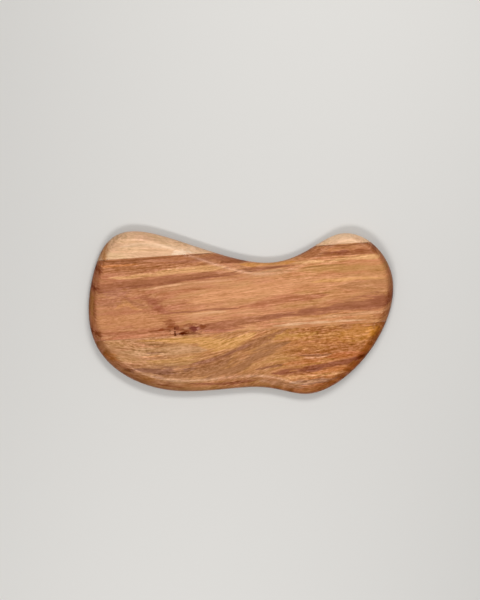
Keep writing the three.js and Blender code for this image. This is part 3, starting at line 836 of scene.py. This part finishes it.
WOODS = dict(zip(STAVES, (middle_wood, lower_wood, sap_woods["left"], sap_woods["right"])))
for node, wood in WOODS.items():
    staves[node].data.materials.clear()
    staves[node].data.materials.append(wood)
for node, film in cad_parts.items():
    if node.endswith("glue_line"):
        film.data.materials.clear()
        film.data.materials.append(glue)
print({node: wood.name for node, wood in WOODS.items()})

# %% [markdown]
# ## Studio
#
# The board lies on a sheet of pale paper. To let the rounded edge fall away into shade, as it does under
# two lamps in a dark room, little light may come back from the paper and the room. To stay pale all the
# same, both are bright only for rays that see them, straight on or in a reflection: the Light Path node
# tells these from the rays that carry light to the board. Far out, the paper fades into the room, so that
# no horizon shows.

# %% Floor
ROOM = {3: 0.15, 4: 0.35}  # strength of the room's light at the horizon and overhead
ROOM_SEEN = {3: 0.65, 4: 0.16}  # and as it is seen
ROOM_COLOUR = "#fffcf6"
FLOOR_HALF = 6  # metres from its middle to a side
FLOOR_SEEN, FLOOR_LIT = "#dedcd8", "#8f8d89"
FLOOR_FADES = {1: 0.45, 2: 1.0}  # how far out, in metres, it starts to fade into the room and has become it
PAPER_ROUGHNESS = 0.9


def seen(tree):
    """1 for rays that see a surface, straight, mirrored or through glass, and 0 for rays that light."""
    path = add(tree, "LightPath").node.outputs
    either = add(tree, "Math", {0: path["Is Camera Ray"], 1: path["Is Glossy Ray"]}, operation="MAXIMUM")
    return add(tree, "Math", {0: either, 1: path["Is Transmission Ray"]}, operation="MAXIMUM")


floor_mesh = bpy.data.meshes.new("studio_floor")
sheet = bmesh.new()
bmesh.ops.create_grid(sheet, x_segments=1, y_segments=1, size=FLOOR_HALF)
sheet.to_mesh(floor_mesh)
sheet.free()
floor = bpy.data.objects.new("studio_floor", floor_mesh)
bpy.context.scene.collection.objects.link(floor)
paper = bpy.data.materials.new("matte_white_paper")
paper.use_nodes = True
floor_tree = paper.node_tree
paper_shader = floor_tree.nodes["Principled BSDF"]
looked_at = seen(floor_tree)
shade = {0: looked_at, 6: linear(FLOOR_LIT), 7: linear(FLOOR_SEEN)}
floor_tone = add(floor_tree, "Mix", shade, give=2, data_type="RGBA")
reach = add(floor_tree, "TexCoord", give="Object")
reach = add(floor_tree, "VectorMath", {0: reach}, give=1, operation="LENGTH")
away = add(floor_tree, "MapRange", {0: reach, **FLOOR_FADES}, interpolation_type="SMOOTHSTEP")
away = add(floor_tree, "Math", {0: away, 1: looked_at}, operation="MULTIPLY")
faded = {0: away, 6: floor_tone, 7: linear("#000000")}
floor_tone = add(floor_tree, "Mix", faded, give=2, data_type="RGBA")
floor_glow = add(floor_tree, "Math", {0: away, 1: ROOM_SEEN[3]}, operation="MULTIPLY")
floor_tree.links.new(floor_tone, paper_shader.inputs["Base Color"])
floor_tree.links.new(floor_glow, paper_shader.inputs["Emission Strength"])
paper_shader.inputs["Emission Color"].default_value = linear(ROOM_COLOUR)
paper_shader.inputs["Roughness"].default_value = PAPER_ROUGHNESS
floor_mesh.materials.append(paper)
print("floor", 2 * FLOOR_HALF, "m wide,", len(floor_tree.nodes), "nodes")

# %% [markdown]
# The room is dim and a little brighter overhead, so every side of the board gets some light. What a
# reflection sees of it is the other way round, bright near the horizon and dark overhead: the oil skin
# then shines at a low angle and leaves the colour of the face alone. An image of a real room could do
# this, but two ramps are enough.

# %% Room light
RISE = {1: 0.0, 2: 0.8}  # the upward part of a ray at which the room's light starts to grow and is full
RISE_SEEN = {1: 0.2, 2: 0.7}  # and the same for the room as it is seen
world = bpy.data.worlds.new("soft_studio")
world.use_nodes = True
sky = world.node_tree
up = add(sky, "SeparateXYZ", {0: add(sky, "TexCoord", give="Generated")}, give=2)
lit = add(sky, "MapRange", {0: up, **RISE, **ROOM}, interpolation_type="SMOOTHSTEP")
shown = add(sky, "MapRange", {0: up, **RISE_SEEN, **ROOM_SEEN}, interpolation_type="SMOOTHSTEP")
glow = add(sky, "Mix", {0: seen(sky), 2: lit, 3: shown})
background = sky.nodes["Background"]
sky.links.new(glow, background.inputs["Strength"])
background.inputs["Color"].default_value = linear("#ffffff")
bpy.context.scene.world = world
print("room light", list(ROOM.values()), "seen as", list(ROOM_SEEN.values()))

# %% [markdown]
# Most of the light comes from two long softboxes, one beyond each long side. Their mirror images lie on
# the eased edges that face them, as thin warm highlights in the two hollows. A sun lamp would light the
# board as well, but it has no size, so it would leave hard shadows and no soft highlight.

# %% Softboxes
SOFTBOXES = (  # name, place in metres, watts, and width and depth in metres
    ("back_softbox", (0.22, 0.69, 0.9), 6.15, 0.72, 0.26),
    ("front_softbox", (-0.17, -0.69, 0.9), 5.4, 0.6, 0.18),
)
for name, place, watts, width, depth in SOFTBOXES:
    lamp = bpy.data.lights.new(name, "AREA")
    lamp.shape = "RECTANGLE"
    lamp.size = width
    lamp.size_y = depth
    lamp.energy = watts
    box = bpy.data.objects.new(name, lamp)
    box.location = place
    box.rotation_euler = (-box.location).to_track_quat("-Z", "Y").to_euler()
    bpy.context.scene.collection.objects.link(box)
    print(name, watts, "watts")

# %% [markdown]
# The camera looks straight down from far off and is turned a little, because the grain of the board rises
# to the right in the picture. Its lens is worked out from the size of a pixel on the board, so picture and
# model can be measured against each other; a lens picked by eye would do for looks alone.

# %% Camera
MM_PER_PIXEL = 1.25
IMAGE_HEIGHT = 600
CAMERA_HEIGHT = 1.8
CAMERA_PLACE = (-1.2, 13.9)  # the middle of the picture on the board, in mm
CAMERA_TURN = math.radians(-3.9)
camera_data = bpy.data.cameras.new("overhead_camera")
camera_data.sensor_width = 36
distance = CAMERA_HEIGHT - THICKNESS / 2
camera_data.lens = camera_data.sensor_width * distance / (MM_PER_PIXEL * IMAGE_HEIGHT * MM)
camera = bpy.data.objects.new("overhead_camera", camera_data)
camera.location = (CAMERA_PLACE[0] * MM, CAMERA_PLACE[1] * MM, CAMERA_HEIGHT)
camera.rotation_euler = (0, 0, CAMERA_TURN)
bpy.context.scene.collection.objects.link(camera)
bpy.context.scene.camera = camera
bpy.context.scene.view_settings.view_transform = "Standard"
print("lens", round(camera_data.lens, 1), "mm")
